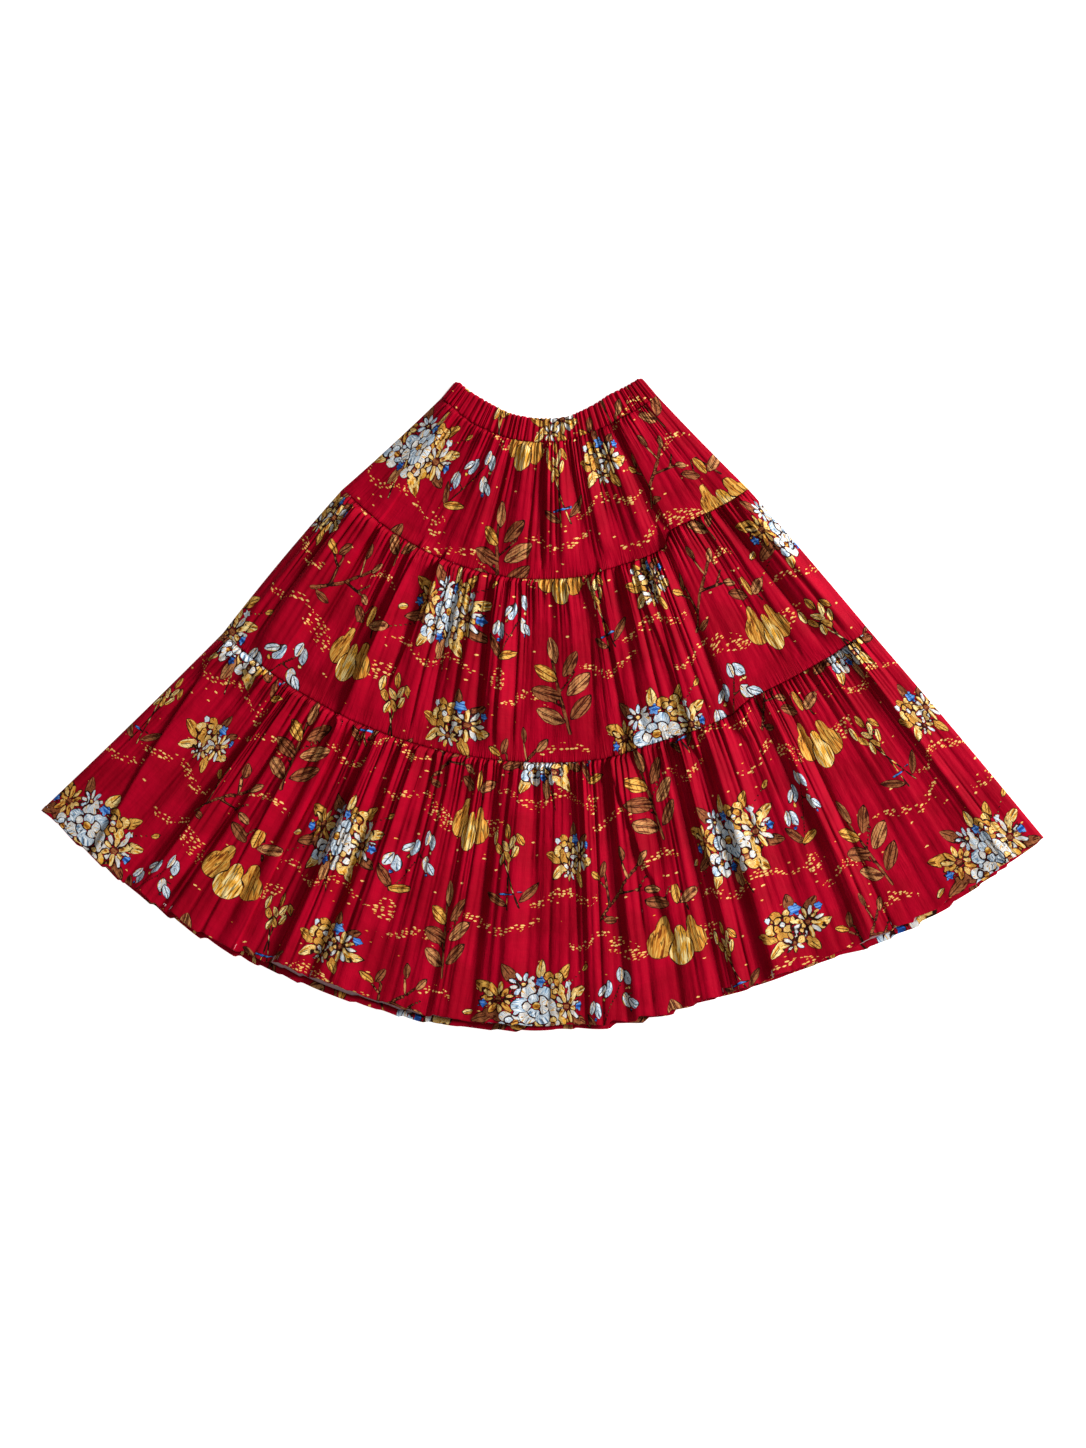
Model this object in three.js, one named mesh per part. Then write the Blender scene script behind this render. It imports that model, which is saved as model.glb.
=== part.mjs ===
// A tiered swing skirt of cotton print, laid flat on its back with the waist towards +Y.
// An elastic waistband and three tiers, each a straight strip gathered to the edge of the one
// above it. Every tier has a front panel, which shows, and a back panel, which lies under it.
// Laid flat the skirt is a fan: places on it are given by an angle from the middle line, in
// degrees, and a radius from the point where its two sides would meet. Millimetres, +Z up.
import * as THREE from 'three';

// Cloth and seams
const BACK_CLOTH = 1.5; // wall of a back panel, flat on the surface that it lies on
const FRONT_CLOTH = 1.8; // wall of a front panel, across its folds
const GAP = 0.3; // between neighbouring panels at a seam, and between the layers
const HEM_TURN = 1.0; // the turned hem stands this much thicker than the panel
const HEM_WIDTH = 9; // of the turned hem
const HEM_REACH = 40; // how far from the hem the front is raised by the turned hem under it
const HEM_DRAW = 0.3; // how far a fold draws the hem back, as a share of its height
const BAND_CLOTH = 3.0; // waistband: two layers of cloth round an elastic
const BAND_RIB = 1.5; // height of the ribs that the elastic draws up in the waistband
const BAND_SCALLOP = 0.8; // how far the upper edge dips between ribs, as a share of their height
const BAND_TOP = 0.3; // share of the waistband's depth over which its ribs rise from the upper edge
const BAND_EDGE_RIB = 1 / 3; // share of their height that the ribs have at the upper edge
const SEAM_LIFT = 2.4; // the seam allowances raise both panels that a seam joins
const SEAM_PUFF = 1.0; // and the upper panel's last folds raise the seam in places
const SEAM_REACH = 20; // how far from a seam the panels come level with each other
const GATHER_RISE = 0.55; // of the gathers where they leave a seam, either way from level
const EDGE_REACH = 34; // how far in from a side the folds reach their full height
const LAID_FLAT = 0.55; // share of its rise that a gather keeps once the skirt is smoothed flat
const GATHER_LENGTH = 50; // over this length gathers run together into folds
const UNEVEN = { shift: 0.006, turns: 7, ends: 0.05 }; // of the gathers' spacing, in shares of the width
const PUFFS = { first: 0.83, second: 0.31, start: 1 }; // uneven puffs along a seam, radians per degree

// Radius of each line that crosses the skirt, at nine angles, and the angles of its two ends.
const STATIONS = [-44, -28, -19, -8, 6, 12, 22.5, 25.5, 42];
const LINES = {
  waist: { radii: [196, 195, 197, 196, 193, 188, 181, 179, 183], left: -44.0, right: 41.9 },
  bandSeam: { radii: [228, 231, 231, 230, 225, 221, 217, 216, 217], left: -43.5, right: 41.7 },
  topSeam: { radii: [417, 421, 422, 422, 418, 412, 406, 388, 400], left: -45.2, right: 42.9 },
  lowSeam: { radii: [678, 679, 679, 678, 675, 665, 658, 648, 659], left: -43.1, right: 42.0 },
  frontHem: { radii: [1032, 1040, 1036, 1047, 1043, 1033, 1025, 1026, 1039], left: -44.0, right: 41.3 },
  backHem: { radii: [1032, 1044, 1048, 1056, 1046, 1034, 1029, 1036, 1039], left: -44.0, right: 41.3 },
};

// Each tier: the lines it runs between, its gathers across the front, the folds that they
// run together into lower down, and how much longer its strip is than its lower edge.
const TIERS = [
  { name: 'tier1', top: 'bandSeam', bottom: 'topSeam', gathers: 32, folds: 9, slack: 1.1, seed: 0.6,
    rows: [0, 0.1, 0.5, 0.9, 1] },
  { name: 'tier2', top: 'topSeam', bottom: 'lowSeam', gathers: 52, folds: 13, slack: 1.07, seed: 2.1,
    rows: [0, 0.08, 0.4, 0.92, 1] },
  { name: 'tier3', top: 'lowSeam', bottom: 'frontHem', gathers: 78, folds: 19, slack: 1.06, seed: 4.4,
    rows: [0, 0.06, 0.24, 0.6, 1] },
];
// How the spare cloth is shared between gathers, pairs of them, and folds: at the seam, and
// lower down. Pairs and folds drift sideways by some radians, a number of turns to a panel.
const SHARES = { gathers: 0.75, pairs: 0.25, lowPairs: 0.35, lowFolds: 0.4 };
const PAIR_DRIFT = { radians: 0.9, turns: 5 };
const FOLD_DRIFT = { radians: 1.6, turns: 9 };
const BAND_RIBS = 38; // gathers that the elastic draws up across the front of the waistband
const STEPS = 4; // columns in the mesh for each gather or rib
const BACK_COLUMNS = 32; // columns in the mesh of a back panel, which is smooth

// The large folds, as laid: a fold runs from one place to another, falls away gently on its
// soft side and steeply on the other. side is +1 where the steep side faces right.
const FOLDS = [
  { name: 'left flap', from: [-36.2, 236], to: [-35.9, 672], height: 6, soft: 46, steep: 4, side: 1 },
  { name: 'left flap hem', from: [-41.6, 716], to: [-38.4, 1060], height: 6, soft: 42, steep: 4, side: -1 },
  { name: 'left lap', from: [-27.9, 800], to: [-28.1, 1060], height: 6, soft: 20, steep: 4, side: -1 },
  { name: 'left lap end', from: [-25.3, 700], to: [-25.6, 1060], height: 6, soft: 24, steep: 4, side: 1 },
  { name: 'left crease', from: [-26.3, 440], to: [-26.0, 672], height: 6, soft: 30, steep: 4, side: -1 },
  { name: 'left short crease', from: [-21.2, 436], to: [-21.8, 590], height: 5, soft: 26, steep: 4, side: -1 },
  { name: 'middle crease', from: [9.2, 436], to: [9.9, 672], height: 6, soft: 28, steep: 4, side: -1 },
  { name: 'right crease', from: [16.7, 470], to: [17.3, 672], height: 6, soft: 24, steep: 4, side: -1 },
  { name: 'right flap top', from: [25.1, 232], to: [25.4, 404], height: 6, soft: 60, steep: 5, side: -1 },
  { name: 'right flap', from: [23.4, 404], to: [22.8, 662], height: 6, soft: 58, steep: 5, side: -1 },
  { name: 'right flap hem', from: [18.2, 670], to: [17.7, 1060], height: 6, soft: 64, steep: 5, side: -1 },
  { name: 'middle hem crease', from: [7.4, 700], to: [10.2, 900], height: 6, soft: 30, steep: 4, side: -1 },
];
const FOLD_FADE = 45; // a large fold rises and dies over this length at its ends

const RED = 0xa8062a;

const smooth = (t) => THREE.MathUtils.smoothstep(t, 0, 1);
const radians = THREE.MathUtils.degToRad;

// A smooth curve through the values of a line at the stations.
function radiusAt(line, angle) {
  const last = STATIONS.length - 1;
  const a = THREE.MathUtils.clamp(angle, STATIONS[0], STATIONS[last]);
  let i = 0;
  while (i < last - 1 && a > STATIONS[i + 1]) i += 1;
  const r = LINES[line].radii;
  const slope = (k) => {
    const low = Math.max(k - 1, 0);
    const high = Math.min(k + 1, last);
    return (r[high] - r[low]) / (STATIONS[high] - STATIONS[low]);
  };
  const width = STATIONS[i + 1] - STATIONS[i];
  const t = (a - STATIONS[i]) / width;
  const t2 = t * t;
  const t3 = t2 * t;
  return (2 * t3 - 3 * t2 + 1) * r[i] + (t3 - 2 * t2 + t) * width * slope(i)
    + (3 * t2 - 2 * t3) * r[i + 1] + (t3 - t2) * width * slope(i + 1);
}

// The place on the fan at share u across and share v down between two lines.
function place(top, bottom, u, v, topGap, bottomGap) {
  const left = THREE.MathUtils.lerp(LINES[top].left, LINES[bottom].left, v);
  const right = THREE.MathUtils.lerp(LINES[top].right, LINES[bottom].right, v);
  const angle = THREE.MathUtils.lerp(left, right, u);
  const start = radiusAt(top, angle) + topGap;
  const radius = THREE.MathUtils.lerp(start, radiusAt(bottom, angle) - bottomGap, v);
  const across = radians(right - left) * radius;
  return { angle, radius, across, sideways: Math.min(u, 1 - u) * across };
}

const toPoint = (angle, radius, z) => new THREE.Vector3(
  radius * Math.sin(radians(angle)), -radius * Math.cos(radians(angle)), z);

// Gathers aren't evenly spaced: the share of the cloth and the share of the width differ.
const spread = (w, seed) => w + UNEVEN.shift * Math.sin(2 * Math.PI * UNEVEN.turns * w + seed)
  * smooth(w / UNEVEN.ends) * smooth((1 - w) / UNEVEN.ends);

// Height of the large folds at a place.
function foldHeight(angle, radius) {
  let height = 0;
  for (const fold of FOLDS) {
    const [fromAngle, fromRadius] = fold.from;
    const [toAngle, toRadius] = fold.to;
    const along = (radius - fromRadius) / (toRadius - fromRadius);
    const rises = smooth((radius - fromRadius) / FOLD_FADE + 1);
    const dies = smooth((toRadius - radius) / FOLD_FADE + 1);
    const line = THREE.MathUtils.lerp(fromAngle, toAngle, THREE.MathUtils.clamp(along, 0, 1));
    const beyond = radians(angle - line) * radius * fold.side;
    const width = beyond > 0 ? fold.steep : fold.soft;
    height = Math.max(height, fold.height * rises * dies * smooth(1 - Math.abs(beyond) / width));
  }
  return height;
}

// Height of a seam above where the front would lie flat: level across the waistband, uneven
// where two tiers meet.
function seamHeight(line, angle) {
  const waves = Math.sin(PUFFS.first * angle) * Math.cos(PUFFS.second * angle + PUFFS.start);
  const puff = line === 'bandSeam' ? 0 : (1 + waves) / 2;
  return SEAM_LIFT + SEAM_PUFF * puff + foldHeight(angle, radiusAt(line, angle));
}

// Height of a tier's gathers and the folds they run into: waves whose rise, before they are
// smoothed flat, takes up the cloth that the strip has over the width that it lies across.
function gatherHeight(tier, w, v, at, depth) {
  const lower = radians(LINES[tier.bottom].right - LINES[tier.bottom].left) * radiusAt(tier.bottom, 0);
  const spare = Math.max((lower * tier.slack) / at.across - 1, 0);
  const fresh = Math.exp((-depth * v) / GATHER_LENGTH);
  const drift = ({ radians: most, turns }) => most * Math.sin(turns * w + tier.seed);
  const waves = [
    { count: tier.gathers, share: SHARES.gathers * fresh, drift: 0 },
    { count: tier.gathers / 2, share: SHARES.pairs + SHARES.lowPairs * (1 - fresh), drift: drift(PAIR_DRIFT) },
    { count: tier.folds, share: SHARES.lowFolds * (1 - fresh), drift: drift(FOLD_DRIFT) * v },
  ];
  let height = 0;
  for (const wave of waves) {
    const rise = (LAID_FLAT * at.across / (Math.PI * wave.count)) * Math.sqrt(spare * wave.share);
    height += rise * (1 + Math.cos(2 * Math.PI * wave.count * w + wave.drift));
  }
  return height;
}

// A closed wall between an upper and a lower grid of points, [row][column], rows running
// down the skirt and columns from left to right.
function wallBetween(upper, lower) {
  const rows = upper.length;
  const columns = upper[0].length;
  const positions = [...upper.flat(), ...lower.flat()].flatMap((p) => [p.x, p.y, p.z]);
  const top = (i, j) => i * columns + j;
  const under = (i, j) => rows * columns + i * columns + j;
  const faces = [];
  const quad = (a, b, c, d) => faces.push(a, b, c, a, c, d);
  for (let i = 0; i < rows - 1; i += 1) {
    for (let j = 0; j < columns - 1; j += 1) {
      quad(top(i, j), top(i + 1, j), top(i + 1, j + 1), top(i, j + 1));
      quad(under(i, j), under(i, j + 1), under(i + 1, j + 1), under(i + 1, j));
    }
    quad(top(i, 0), under(i, 0), under(i + 1, 0), top(i + 1, 0));
    const j = columns - 1;
    quad(top(i, j), top(i + 1, j), under(i + 1, j), under(i, j));
  }
  for (let j = 0; j < columns - 1; j += 1) {
    quad(top(0, j), top(0, j + 1), under(0, j + 1), under(0, j));
    const i = rows - 1;
    quad(top(i, j), under(i, j), under(i, j + 1), top(i, j + 1));
  }
  const geometry = new THREE.BufferGeometry();
  geometry.setAttribute('position', new THREE.Float32BufferAttribute(positions, 3));
  geometry.setIndex(faces);
  geometry.computeVertexNormals();
  return geometry;
}

// A wall of even thickness about a grid of middle points. A point moves along its line of
// columns only, so that the wall's upper and lower edges stay upright for the seams.
function wallAbout(middle, thickness) {
  const shifted = (side) => middle.map((row) => row.map((point, j) => {
    const before = row[Math.max(j - 1, 0)];
    const after = row[Math.min(j + 1, row.length - 1)];
    const run = Math.hypot(after.x - before.x, after.y - before.y);
    const rise = after.z - before.z;
    const length = Math.hypot(run, rise);
    const push = (side * thickness) / 2 / length;
    const lean = (-rise * push) / run;
    return new THREE.Vector3(point.x + lean * (after.x - before.x), point.y + lean * (after.y - before.y),
      point.z + run * push);
  }));
  return wallBetween(shifted(1), shifted(-1));
}

function grid(rows, columns, point) {
  return rows.map((v) => Array.from({ length: columns + 1 }, (_, j) => point(j / columns, v)));
}

function panel(name, geometry) {
  const cotton = new THREE.MeshStandardMaterial({ color: RED, roughness: 0.85, metalness: 0 });
  const mesh = new THREE.Mesh(geometry, cotton);
  mesh.name = name;
  return mesh;
}

// The front of a tier: its folds rest on the back panel and stand up from it. It meets the
// seam above in small gathers, level on average with the panel there, and comes level with the
// seam below; the last tier's hem hangs free instead, drawn back where a fold lifts it.
function tierFront(tier) {
  const isHem = tier.bottom === 'frontHem';
  const depth = radiusAt(tier.bottom, 0) - radiusAt(tier.top, 0);
  const point = (w, v) => {
    const u = spread(w, tier.seed);
    const at = place(tier.top, tier.bottom, u, v, GAP / 2, isHem ? 0 : GAP / 2);
    const settled = smooth(at.sideways / EDGE_REACH);
    const folds = gatherHeight(tier, w, v, at, depth) + foldHeight(at.angle, at.radius);
    const nearTop = smooth(1 - (depth * v) / SEAM_REACH);
    const nearBottom = isHem ? 0 : smooth(1 - (depth * (1 - v)) / SEAM_REACH);
    const gathered = seamHeight(tier.top, at.angle) + GATHER_RISE * Math.cos(2 * Math.PI * tier.gathers * w);
    let height = THREE.MathUtils.lerp(folds, gathered, nearTop);
    if (nearBottom > 0) height = THREE.MathUtils.lerp(height, seamHeight(tier.bottom, at.angle), nearBottom);
    const nearHem = isHem ? smooth(1 - (depth * (1 - v)) / HEM_REACH) : 0;
    const floor = BACK_CLOTH + GAP + FRONT_CLOTH / 2 + HEM_TURN * nearHem;
    return toPoint(at.angle, at.radius - HEM_DRAW * nearHem * settled * height, floor + settled * height);
  };
  return panel(`${tier.name}_front`, wallAbout(grid(tier.rows, tier.gathers * STEPS, point), FRONT_CLOTH));
}

// The back of a tier, pressed flat by its own weight and the front's. The last one's hem is
// turned up on the inside, where it shows beyond the front's.
function tierBack(tier) {
  const isHem = tier.bottom === 'frontHem';
  const bottom = isHem ? 'backHem' : tier.bottom;
  const depth = radiusAt(bottom, 0) - radiusAt(tier.top, 0);
  const turn = 1 - HEM_WIDTH / depth;
  const rows = isHem ? [0, 1 / 3, 2 / 3, turn, turn + HEM_TURN / depth, 1] : [0, 0.5, 1];
  const layer = (height) => (u, v) => {
    const at = place(tier.top, bottom, u, v, GAP / 2, isHem ? 0 : GAP / 2);
    return toPoint(at.angle, at.radius, height(v));
  };
  const upper = grid(rows, BACK_COLUMNS, layer((v) => BACK_CLOTH + (isHem && v > turn ? HEM_TURN : 0)));
  const lower = grid(rows, BACK_COLUMNS, layer(() => 0));
  return panel(`${tier.name}_back`, wallBetween(upper, lower));
}

// The waistband: a casing drawn up in ribs on the outside, plain on the inside. Its upper
// edge is scalloped by the ribs.
function waistband(name, floor, ribHeight, columns) {
  const wave = (w) => (1 + Math.cos(2 * Math.PI * BAND_RIBS * w)) / 2;
  const layer = (height) => (w, v) => {
    const at = place('waist', 'bandSeam', w, v, 0, GAP / 2);
    const dip = BAND_SCALLOP * ribHeight * (1 - wave(w)) * (1 - v);
    return toPoint(at.angle, at.radius + dip, height(w, v));
  };
  const rib = (w, v) => ribHeight * wave(w) * (v < BAND_TOP ? BAND_EDGE_RIB : 1);
  const rows = [0, BAND_TOP, 1];
  const upper = grid(rows, columns, layer((w, v) => floor + BAND_CLOTH + rib(w, v)));
  const lower = grid(rows, columns, layer(() => floor));
  return panel(name, wallBetween(upper, lower));
}

const skirt = new THREE.Group();
skirt.add(waistband('waistband_back', 0, 0, BACK_COLUMNS));
skirt.add(waistband('waistband_front', BAND_CLOTH + GAP, BAND_RIB, BAND_RIBS * STEPS));
for (const tier of TIERS) skirt.add(tierBack(tier), tierFront(tier));

// The origin is on the surface that the skirt lies on, under the middle of its outline.
const middle = new THREE.Box3().setFromObject(skirt).getCenter(new THREE.Vector3());
skirt.position.set(-middle.x, -middle.y, 0);

export default skirt;
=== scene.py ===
# A tiered swing skirt of printed cotton, laid flat on its back with the waist away from you.
# Cloth shapes are worked out in millimetres, as they were cut, and made metres in the meshes.
import functools
import math

import bpy
import numpy as np
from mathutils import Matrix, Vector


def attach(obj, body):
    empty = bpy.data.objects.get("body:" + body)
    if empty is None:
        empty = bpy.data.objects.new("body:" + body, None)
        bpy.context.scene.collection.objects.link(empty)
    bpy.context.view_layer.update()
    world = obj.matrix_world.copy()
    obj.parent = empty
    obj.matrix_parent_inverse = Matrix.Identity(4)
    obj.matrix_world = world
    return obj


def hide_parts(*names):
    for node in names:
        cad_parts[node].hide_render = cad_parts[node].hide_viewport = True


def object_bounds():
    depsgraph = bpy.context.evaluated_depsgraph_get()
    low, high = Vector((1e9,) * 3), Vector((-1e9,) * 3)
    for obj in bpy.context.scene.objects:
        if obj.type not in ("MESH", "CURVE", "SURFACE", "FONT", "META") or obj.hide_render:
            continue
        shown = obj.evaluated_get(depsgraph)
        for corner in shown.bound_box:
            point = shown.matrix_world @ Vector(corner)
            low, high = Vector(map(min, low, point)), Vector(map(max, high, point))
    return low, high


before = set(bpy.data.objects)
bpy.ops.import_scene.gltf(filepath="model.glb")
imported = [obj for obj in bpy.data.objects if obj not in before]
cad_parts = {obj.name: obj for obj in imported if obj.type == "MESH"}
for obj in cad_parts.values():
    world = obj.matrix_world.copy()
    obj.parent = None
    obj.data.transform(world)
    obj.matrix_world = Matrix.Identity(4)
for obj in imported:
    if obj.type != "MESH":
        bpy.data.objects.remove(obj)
lowCorner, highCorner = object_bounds()

mm = 0.001

# The skirt lies as a fan. Each line that crosses it: radius at nine angles from the middle
# line, in degrees, and the angles of its two ends.
stations = np.array([-44, -28, -19, -8, 6, 12, 22.5, 25.5, 42.0])
lines = {
    "waist": {"radii": [196, 195, 197, 196, 193, 188, 181, 179, 183], "ends": (-44.0, 41.9)},
    "bandSeam": {"radii": [228, 231, 231, 230, 225, 221, 217, 216, 217], "ends": (-43.5, 41.7)},
    "topSeam": {"radii": [417, 421, 422, 422, 418, 412, 406, 388, 400], "ends": (-45.2, 42.9)},
    "lowSeam": {"radii": [678, 679, 679, 678, 675, 665, 658, 648, 659], "ends": (-43.1, 42.0)},
    "frontHem": {"radii": [1032, 1040, 1036, 1047, 1043, 1033, 1025, 1026, 1039], "ends": (-44.0, 41.3)},
    "backHem": {"radii": [1032, 1044, 1048, 1056, 1046, 1034, 1029, 1036, 1039], "ends": (-44.0, 41.3)},
}

# Heights above the surface: the back panels lie on it, the front panels on them. Millimetres.
layers = {
    "cloth": 0.5,  # thickness of the shells
    "frontSkin": 3.6,  # outer face of a front panel where it lies flat
    "lowest": -1.0,  # how far below that a valley goes before it lies on the back panel
    "sideSkin": 1.3,  # where the cloth turns down to the back at the skirt's sides
    "sideTurn": 5.0,  # how far in from a side that turn starts
    "edgeReach": 22.0,  # how far in from a side the folds reach their full height
    "seamLift": 2.4,  # the seam allowances raise both panels that a seam joins
    "seamPuff": 1.0,  # and the upper panel's last folds raise the seam in places
    "seamReach": 20.0,  # how far from a seam the panels come level with each other
    "hemReach": 40.0,  # how far from the hem its turn raises the front panel
}
seamPuffs = {"first": 0.83, "second": 0.31, "start": 1}  # radians per degree, and at the middle

# Large folds as laid, each with a soft side and a steep one: angle and radius where it starts,
# those where it ends, its height, the widths of its soft and its steep side, and +1 where it is
# steep towards the right.
folds = [
    (-36.2, 236, -35.9, 672, 5.5, 46, 4, 1), (-41.6, 716, -38.4, 1060, 5.5, 42, 4, -1),
    (-27.9, 800, -28.1, 1060, 5.5, 20, 4, -1), (-25.3, 700, -25.6, 1060, 5.5, 24, 4, 1),
    (-26.3, 440, -26.0, 672, 5.5, 30, 4, -1), (-21.2, 436, -21.8, 590, 5, 26, 4, -1),
    (9.2, 436, 9.9, 672, 5.5, 28, 4, -1), (16.7, 470, 17.3, 672, 5.5, 24, 4, -1),
    (25.1, 232, 25.4, 404, 5.5, 66, 5, -1), (23.4, 404, 22.8, 662, 5.5, 58, 5, -1),
    (18.2, 670, 17.7, 1060, 7, 64, 5, -1), (7.4, 700, 10.2, 900, 5.5, 30, 4, -1),
]
foldFade = 45.0  # a large fold rises and dies over this length at its ends
foldLean = 0.45  # how far a fold's crest leans over its steep side, as a share of its height

# The tiers, from the waist down. cut is half a strip, front or back: its width before it was
# gathered, and its depth. It is slack times as long as its lower edge, and rise is how much of
# that its gathers show. length is how far down they reach. puckers are the small ones above the
# next seam. skip rows of the outer face share one of the inner face.
tiers = [
    {
        "name": "tier1", "top": "bandSeam", "bottom": "topSeam", "cut": (684, 190),
        "gathers": 44, "rise": 0.6, "slack": 1.12, "length": 60, "puckers": 56, "scallops": 0,
        "seed": 0.6, "columns": 380, "rows": 72, "skip": 1, "backColumns": 260, "backRows": 46,
        "printFrom": (60, 20),
    },
    {
        "name": "tier2", "top": "topSeam", "bottom": "lowSeam", "cut": (1072, 256),
        "gathers": 66, "rise": 0.94, "slack": 1.1, "length": 80, "puckers": 84, "scallops": 0,
        "seed": 2.1, "columns": 560, "rows": 84, "skip": 1, "backColumns": 340, "backRows": 54,
        "printFrom": (140, 205),
    },
    {
        "name": "tier3", "top": "lowSeam", "bottom": "frontHem", "cut": (1642, 368),
        "gathers": 98, "rise": 1.0, "slack": 1.1, "length": 130, "puckers": 0, "scallops": 37,
        "seed": 4.4, "columns": 680, "rows": 92, "skip": 3, "backColumns": 420, "backRows": 66,
        "printFrom": (35, 110),
    },
]

# The middle of the fan: the box's left edge is the hem's left end, and its far edge is the
# waist's right end.
hem, waist = lines["frontHem"], lines["waist"]
apexX = lowCorner.x / mm - hem["radii"][0] * math.sin(math.radians(hem["ends"][0]))
apexY = highCorner.y / mm + waist["radii"][-1] * math.cos(math.radians(waist["ends"][1]))


# 3t^2 - 2t^3, held at 0 and 1
def smooth(t):
    t = np.clip(t, 0, 1)
    return t * t * (3 - 2 * t)


# a + (b - a) t
def blend(a, b, t):
    return a + (b - a) * t


# Smooth random curve: random heights at whole numbers, joined by smooth steps
def wander(x, seed):
    many = 1024
    heights = np.random.default_rng(seed).uniform(-1, 1, many)
    cell = np.floor(x).astype(int)
    return blend(heights[cell % many], heights[(cell + 1) % many], smooth(x - cell))


# Radius of a line at an angle: cubic Hermite pieces through the stations, with the slopes
# of the chords between their neighbours.
def radiusAt(line, angle):
    radii = np.array(lines[line]["radii"], float)
    last = len(stations) - 1
    a = np.clip(angle, stations[0], stations[last])
    i = np.clip(np.searchsorted(stations, a, side="left") - 1, 0, last - 1)
    before = np.maximum(np.arange(last + 1) - 1, 0)
    after = np.minimum(np.arange(last + 1) + 1, last)
    slopes = (radii[after] - radii[before]) / (stations[after] - stations[before])
    width = stations[i + 1] - stations[i]
    t = (a - stations[i]) / width
    t2, t3 = t * t, t * t * t
    return (
        (2 * t3 - 3 * t2 + 1) * radii[i]
        + (t3 - 2 * t2 + t) * width * slopes[i]
        + (3 * t2 - 2 * t3) * radii[i + 1]
        + (t3 - t2) * width * slopes[i + 1]
    )


# From the first line's end to the second's, on one side of the skirt, at share v down
def sideAngle(top, bottom, side, v):
    return blend(lines[top]["ends"][side], lines[bottom]["ends"][side], v)


# Angle, radius, width of the skirt, and distance to its nearer side, at share u across and v
# down between two lines
def place(top, bottom, u, v):
    left, right = sideAngle(top, bottom, 0, v), sideAngle(top, bottom, 1, v)
    angle = blend(left, right, u)
    radius = blend(radiusAt(top, angle), radiusAt(bottom, angle), v)
    across = np.radians(right - left) * radius
    return angle, radius, across, np.minimum(u, 1 - u) * across


# Distance between two lines at the middle of the skirt
def depthBetween(top, bottom):
    return float(radiusAt(bottom, np.array(0.0)) - radiusAt(top, np.array(0.0)))


# Height of the large folds, and how far their crests lean sideways, in millimetres.
def largeFolds(angle, radius):
    height, lean = np.zeros_like(angle), np.zeros_like(angle)
    for fromAngle, fromRadius, toAngle, toRadius, tall, soft, steep, side in folds:
        along = np.clip((radius - fromRadius) / (toRadius - fromRadius), 0, 1)
        ends = smooth((radius - fromRadius) / foldFade + 1) * smooth((toRadius - radius) / foldFade + 1)
        beyond = np.radians(angle - blend(fromAngle, toAngle, along)) * radius * side
        own = tall * ends * smooth(1 - np.abs(beyond) / np.where(beyond > 0, steep, soft))
        lean = np.where(own > height, foldLean * side * own, lean)
        height = np.maximum(height, own)
    return height, lean


# The share of the width at share w of the cloth: w and a slow wave, apart from near the sides
spacing = {"shift": 0.006, "waves": 7, "ends": 0.05}


def spread(w, seed):
    ends = smooth(w / spacing["ends"]) * smooth((1 - w) / spacing["ends"])
    return w + spacing["shift"] * np.sin(2 * np.pi * spacing["waves"] * w + seed) * ends


# Level of a seam above where the front would lie flat.
def seamLevel(line, angle):
    waves = np.sin(seamPuffs["first"] * angle) * np.cos(seamPuffs["second"] * angle + seamPuffs["start"])
    puff = 0.0 if line == "bandSeam" else 0.5 + 0.5 * waves
    return layers["seamLift"] + layers["seamPuff"] * puff + largeFolds(angle, radiusAt(line, angle))[0]


# One crest to each turn of the phase, rounded, with a narrow valley: 2 |cos(phase / 2)|^p - 1
def crest(phase, sharpness):
    return 2 * np.abs(np.cos(phase / 2)) ** sharpness - 1


# How gathers run down the cloth, in millimetres. An uneven value wanders by that share of
# itself either way, so many times to a gather.
gathering = {
    "laidFlat": 0.72,  # share of its rise that a gather keeps once the skirt is smoothed flat
    "fineReach": 30, "fineUneven": (0.65, 1.3),  # the finest ones die away over this length
    "lengthUneven": (0.75, 0.9), "riseUneven": (0.6, 0.85),
    "crowding": (1.9, 0.33),  # radians by which they crowd together and part, and how often
    "seamRise": 0.8, "seamReach": 32,  # how much higher they stand at the seam, and how far down
    "bunchUneven": (0.65, 1 / 4.5), "bunchFrom": 70,  # lower down some stretches lie flatter than others
    "bend": 0.8, "stray": 0.9,  # radians by which they leave their line on the way down
    "lift": 0.6,  # share of their rise by which they lift the cloth as a whole
}
# The waves that they are made of: gathers to each wave, its share of the spare cloth at the
# seam and lower down, and how sharp its valleys are, which is least at 1.
gatherWaves = [
    {"gathers": 0.6, "atSeam": 1.9, "lower": 0, "sharpness": 0.55},
    {"gathers": 1, "atSeam": 1, "lower": 0.16, "sharpness": 0.5},
    {"gathers": 2, "atSeam": 0.22, "lower": 0.42, "sharpness": 0.45},
    {"gathers": 4.5, "atSeam": 0, "lower": 0.22, "sharpness": 1.0},
]


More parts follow.
